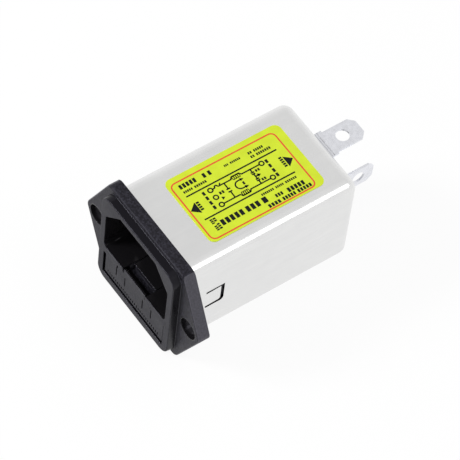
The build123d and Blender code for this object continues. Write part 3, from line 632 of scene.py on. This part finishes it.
rule_ink = bmesh.new()
for rule_up in RULES_UP:
    stroke(rule_ink, (RULES_ALONG[0], rule_up), 0, RULE_LINE, [RULES_ALONG[1] - RULES_ALONG[0]])
print_piece("label_rules", rule_ink, black_ink)

# %% [markdown]
# The middle field holds a plain circuit: two lines from the input circles to the output circles,
# a choke winding in each, a capacitor across them and two more to the earth mark. A line jogs
# outwards at its winding, whose long loops hang inwards from it, and a capacitor is two plates
# with a lead to each. The upper line starts with the wave of a fuse. Between the windings stands
# an open loop with two arrowheads.

# %% Circuit in the middle field
WIRE_LINE = 0.34
TERMINAL_RADIUS = 0.56
TOP_WIRE_UP = 11.95
BOTTOM_WIRE_UP = 7.5
EARTH_WIRE_UP = 9.75
INPUT_ALONG = 7.85
OUTPUT_ALONG = 21.75

FUSE_GAP = 2.0
FUSE_LEAD = 0.4
FUSE_WAVE_RADIUS = 0.35
FUSE_WAVE_TURN = 75

TOP_WINDING_ALONG = 13.85
BOTTOM_WINDING_ALONG = 13.3
WINDING_LENGTH = 1.95
WINDING_TURNS = 4
WINDING_LIFT = 0.55
WINDING_LINE = 0.2
LOOP_RADIUS = 0.23
LOOP_LENGTH = 0.5
JOG = 0.45
JOG_LENGTH = math.hypot(JOG, WINDING_LIFT)
JOG_TURN = math.degrees(math.atan2(WINDING_LIFT, JOG))
PEN_TURN_RADIUS = 0.02

EARTH_ALONG = 18.6
EARTH_LEAD = 1.0
CORE_LOOP_START = (15.4, 10.85)
CORE_LOOP_RUN = 1.0
CORE_LOOP_RADIUS = 1.1

# Capacitors: along, high end, low end, middle, plate width, plate gap
CAPACITORS = [
    (11.5, TOP_WIRE_UP, BOTTOM_WIRE_UP, 9.8, 1.0, 0.8),
    (EARTH_ALONG, TOP_WIRE_UP, EARTH_WIRE_UP, 10.75, 0.9, 0.45),
    (EARTH_ALONG, EARTH_WIRE_UP, BOTTOM_WIRE_UP, 8.8, 0.9, 0.45)]

# Arrowheads in the circuit: base along, tip along, up, half height
CIRCUIT_ARROWHEADS = [
    (19.2, 20.05, EARTH_WIRE_UP, 0.5),
    (15.1, 16.05, CORE_LOOP_START[1], 0.42),
    (15.1, 16.05, CORE_LOOP_START[1] - 2 * CORE_LOOP_RADIUS, 0.42),
    (8.9, 9.7, 8.8, 0.45)]


def winding_line(bm, start_along, winding_along, up, side):
    """Line from an input to an output that jogs to one side where its winding is."""
    out = (PEN_TURN_RADIUS, JOG_TURN * side)
    back_again = (PEN_TURN_RADIUS, -JOG_TURN * side)
    before = winding_along - JOG - start_along
    after = OUTPUT_ALONG - TERMINAL_RADIUS - winding_along - WINDING_LENGTH - JOG
    stroke(bm, (start_along, up), 0, WIRE_LINE, [
        before, out, JOG_LENGTH, back_again, WINDING_LENGTH, back_again, JOG_LENGTH, out, after])
    pitch = WINDING_LENGTH / WINDING_TURNS
    half_turn = (LOOP_RADIUS, -180 * side)
    for turn_index in range(WINDING_TURNS):
        loop_along = winding_along + (turn_index + 0.5) * pitch + LOOP_RADIUS
        loop_up = up + side * (WINDING_LIFT - LOOP_RADIUS)
        stroke(bm, (loop_along, loop_up), -90 * side, WINDING_LINE, [
            LOOP_LENGTH, half_turn, LOOP_LENGTH, half_turn])


def capacitor(bm, along, high_end, low_end, middle, plate_width, plate_gap):
    """Two plates across the current, with a lead up to one wire and down to the other."""
    half_gap = plate_gap / 2
    stroke(bm, (along, high_end), -90, WIRE_LINE, [high_end - middle - half_gap])
    stroke(bm, (along, low_end), 90, WIRE_LINE, [middle - half_gap - low_end])
    for plate_up in (middle - half_gap, middle + half_gap):
        stroke(bm, (along - plate_width / 2, plate_up), 0, WIRE_LINE, [plate_width])


circuit = bmesh.new()
for wire_up in (TOP_WIRE_UP, EARTH_WIRE_UP, BOTTOM_WIRE_UP):
    ring(circuit, INPUT_ALONG, wire_up, TERMINAL_RADIUS, WIRE_LINE)
for wire_up in (TOP_WIRE_UP, BOTTOM_WIRE_UP):
    ring(circuit, OUTPUT_ALONG, wire_up, TERMINAL_RADIUS, WIRE_LINE)

line_start = INPUT_ALONG + TERMINAL_RADIUS
fuse_turns = (FUSE_WAVE_TURN, -2 * FUSE_WAVE_TURN, 2 * FUSE_WAVE_TURN, -FUSE_WAVE_TURN)
fuse_wave = [FUSE_LEAD] + [(FUSE_WAVE_RADIUS, turned) for turned in fuse_turns]
stroke(circuit, (line_start, TOP_WIRE_UP), 0, WIRE_LINE, fuse_wave)
winding_line(circuit, line_start + FUSE_GAP, TOP_WINDING_ALONG, TOP_WIRE_UP, 1)
winding_line(circuit, line_start, BOTTOM_WINDING_ALONG, BOTTOM_WIRE_UP, -1)

for capacitor_sizes in CAPACITORS:
    capacitor(circuit, *capacitor_sizes)
stroke(circuit, (EARTH_ALONG, EARTH_WIRE_UP), 0, WIRE_LINE, [EARTH_LEAD])
stroke(circuit, CORE_LOOP_START, 180, WIRE_LINE, [
    CORE_LOOP_RUN, (CORE_LOOP_RADIUS, 180), CORE_LOOP_RUN])
for arrowhead_sizes in CIRCUIT_ARROWHEADS:
    arrowhead(circuit, *arrowhead_sizes)
print_piece("label_circuit", circuit, black_ink)

# %% [markdown]
# Two arrowheads point to the input and to the output. The other lines of the print are rows of
# plain blocks, each with a height and a weight near those of the real print.

# %% Arrows and blocks
SIGN_PITCH = 0.74
SIGN_WIDTH_SHARE = 0.7
SIGN_HEIGHT_SHARE = 0.9
GROUP_GAP = 0.45

# Arrowheads: base along, tip along, up, half height
FIELD_ARROWHEADS = [
    (2.95, 0.95, 9.55, 1.6),
    (26.75, 28.6, 9.45, 1.55)]

# Rows of blocks: along, up, height, degrees, lengths of the groups
BLOCK_ROWS = [
    (2.4, 16.15, 1.35, 0, [4.6]),
    (8.6, 16.05, 1.35, 0, [1.0, 1.0]),
    (2.45, 14.55, 0.7, 0, [2.5, 3.3]),
    (14.2, 15.75, 0.6, 0, [1.2, 2.8]),
    (20.7, 15.75, 0.75, 0, [1.1, 2.6]),
    (20.7, 14.6, 0.75, 0, [1.1, 3.9]),
    (9.1, 10.2, 0.85, 0, [1.4]),
    (19.4, 11.0, 0.75, 0, [1.3]),
    (19.3, 8.3, 0.75, 0, [1.3]),
    (15.1, 9.7, 0.9, 0, [0.7]),
    (3.5, 11.0, 0.85, -90, [2.7]),
    (26.1, 11.2, 0.85, -90, [3.1]),
    (3.4, 5.5, 0.75, -90, [1.5, 1.5]),
    (4.2, 5.5, 0.75, -90, [1.2, 1.8]),
    (4.95, 3.45, 1.75, 0, [6.3, 3.9, 1.7]),
    (19.3, 3.0, 1.0, 0, [2.1]),
    (22.5, 2.85, 1.35, 0, [4.7]),
    (16.8, 4.9, 0.65, 0, [3.4, 2.2, 3.1]),
    (16.4, 1.5, 1.05, 0, [3.4, 3.6, 3.9])]

# Columns of single blocks: along, height, length, up of each block
COLUMNS = [
    (5.75, 1.1, 0.9, (11.95, 10.55, 9.1, 7.7)),
    (22.75, 1.1, 0.9, (11.85, 10.45, 9.0, 7.6))]


def row_of_blocks(bm, along, up, height, degrees, groups):
    """Row of groups in a direction from its start, each a length filled with equal blocks."""
    step = math.radians(degrees)
    for length in groups:
        signs = max(1, round(length / (height * SIGN_PITCH)))
        pitch = length / signs
        for sign in range(signs):
            place = (along + sign * pitch * math.cos(step), up + sign * pitch * math.sin(step))
            stroke(bm, place, degrees, height * SIGN_HEIGHT_SHARE, [pitch * SIGN_WIDTH_SHARE])
        along += (length + GROUP_GAP) * math.cos(step)
        up += (length + GROUP_GAP) * math.sin(step)


arrows = bmesh.new()
for arrowhead_sizes in FIELD_ARROWHEADS:
    arrowhead(arrows, *arrowhead_sizes)
print_piece("label_arrows", arrows, black_ink)

blocks = bmesh.new()
for row in BLOCK_ROWS:
    row_of_blocks(blocks, *row)
for column_along, block_height, block_length, blocks_up in COLUMNS:
    for block_up in blocks_up:
        row_of_blocks(blocks, column_along, block_up, block_height, 0, [block_length])
print_piece("label_blocks", blocks, black_ink)

# %% [markdown]
# The floor is a large white sheet. Camera rays and reflections see most of it as plain white, and
# a share of matt paint under that keeps the object's soft shadow.

# %% Floor
FLOOR_SHADOW_SHARE = 0.08
FLOOR_HALF = 2000 * MM
PLAIN_WHITE = (1, 1, 1, 1)

floor_sheet = bmesh.new()
bmesh.ops.create_grid(floor_sheet, x_segments=1, y_segments=1, size=FLOOR_HALF)
bmesh.ops.translate(floor_sheet, verts=floor_sheet.verts, vec=(0, 0, cad_low.z))
floor_mesh = bpy.data.meshes.new("floor")
floor_sheet.to_mesh(floor_mesh)
floor_sheet.free()
floor = bpy.data.objects.new("floor", floor_mesh)
bpy.context.scene.collection.objects.link(floor)
floor_paint, tree = empty_material("matt_white_floor")
rays = add(tree, "LightPath").outputs
seen = add(tree, "Math", {
    0: rays["Is Camera Ray"], 1: rays["Is Glossy Ray"]}, operation="MAXIMUM")
seen = add(tree, "Math", {0: seen, 1: rays["Is Transmission Ray"]}, operation="MAXIMUM")
share = add(tree, "Math", {0: seen, 1: 1 - FLOOR_SHADOW_SHARE}, operation="MULTIPLY")
paint = add(tree, "BsdfDiffuse", {"Color": linear("fafafa")})
white = add(tree, "Emission", {"Color": PLAIN_WHITE, "Strength": 1.0})
mixed = add(tree, "MixShader", {0: share, 1: paint, 2: white})
add(tree, "OutputMaterial", {"Surface": mixed})
floor_mesh.materials.append(floor_paint)
print("floor at", round(cad_low.z / MM, 1), "mm")

# %% [markdown]
# The world is a light tent. The camera sees it plain white. Reflections see its cloth, which is
# brightest low on the walls and has a darker seam under its roof, so that the can's faces and
# rounded edges part from each other. A small dark gap in the roof keeps the upper sides of the
# black bezel dark. Its soft edge lies between 6 and 13 degrees from its middle. The light that
# falls on the object is even.

# %% Light tent
WORLD_LEVEL = 0.62
TENT_HEIGHTS = (0.0, 0.25, 0.46, 0.6, 0.82, 0.9, 1.0)
TENT_LEVELS = (0.98, 0.99, 0.88, 0.92, 0.83, 0.9, 0.85)
ROOF_GAP = Vector((-0.43, 0.06, 0.9)).normalized()
ROOF_GAP_EDGES = (math.cos(math.radians(13)), math.cos(math.radians(6)))
ROOF_GAP_LEVEL = 0.3

world = bpy.data.worlds.new("light_tent")
world.use_nodes = True
bpy.context.scene.world = world
tree = world.node_tree
tree.nodes.clear()
direction = add(tree, "TexCoord").outputs["Generated"]
height = add(tree, "SeparateXYZ", {"Vector": direction}).outputs["Z"]
cloth = add(tree, "ValToRGB", {"Fac": height})
stops = cloth.color_ramp.elements
for inner_height in TENT_HEIGHTS[1:-1]:
    stops.new(inner_height)
for stop, level in zip(stops, TENT_LEVELS):
    stop.color = (level, level, level, 1.0)
towards_gap = add(tree, "VectorMath", {0: direction, 1: ROOF_GAP}, operation="DOT_PRODUCT")
open_cloth = add(tree, "MapRange", {
    "Value": towards_gap.outputs["Value"],
    "From Min": ROOF_GAP_EDGES[0], "From Max": ROOF_GAP_EDGES[1],
    "To Min": 1.0, "To Max": ROOF_GAP_LEVEL}, interpolation_type="SMOOTHSTEP")
reflected = add(tree, "Math", {0: cloth.outputs["Color"], 1: open_cloth}, operation="MULTIPLY")
rays = add(tree, "LightPath").outputs
plain = add(tree, "Math", {
    0: rays["Is Camera Ray"], 1: rays["Is Transmission Ray"]}, operation="MAXIMUM")
lit = add(tree, "Mix", {
    "Factor": rays["Is Glossy Ray"], "A": WORLD_LEVEL, "B": reflected}, data_type="FLOAT")
strength = add(tree, "Mix", {"Factor": plain, "A": lit, "B": 1.0}, data_type="FLOAT")
background = add(tree, "Background", {"Color": PLAIN_WHITE, "Strength": strength})
add(tree, "OutputWorld", {"Surface": background})
print("tent stops:", [(round(stop.position, 2), round(stop.color[0], 2)) for stop in stops])

# %% [markdown]
# One soft lamp stands high to the right and behind, and gives the can's long rounded edge its
# narrow bright strip. A second, smaller one in front and to the left draws the fine lights along
# the edges of the bezel, the flange and the drawer's pull.

# %% Lamps
def soft_lamp(name, towards, distance_mm, size_mm, watts):
    """Square lamp in a direction from the object, turned to it."""
    data = bpy.data.lights.new(name, "AREA")
    data.shape = "SQUARE"
    data.size = size_mm * MM
    data.energy = watts
    lamp = bpy.data.objects.new(name, data)
    way = Vector(towards).normalized()
    facing = way.to_track_quat("Z", "Y").to_matrix().to_4x4()
    lamp.matrix_world = Matrix.Translation(LOOK_AT + way * distance_mm * MM) @ facing
    bpy.context.scene.collection.objects.link(lamp)
    print(name, "at", [round(v / MM) for v in lamp.matrix_world.translation], "mm")


soft_lamp("right_rear_lamp", (0.58, 0.375, 0.72), distance_mm=900, size_mm=360, watts=0.8)
soft_lamp("left_front_lamp", (-0.43, -0.68, 0.59), distance_mm=1000, size_mm=240, watts=6.0)
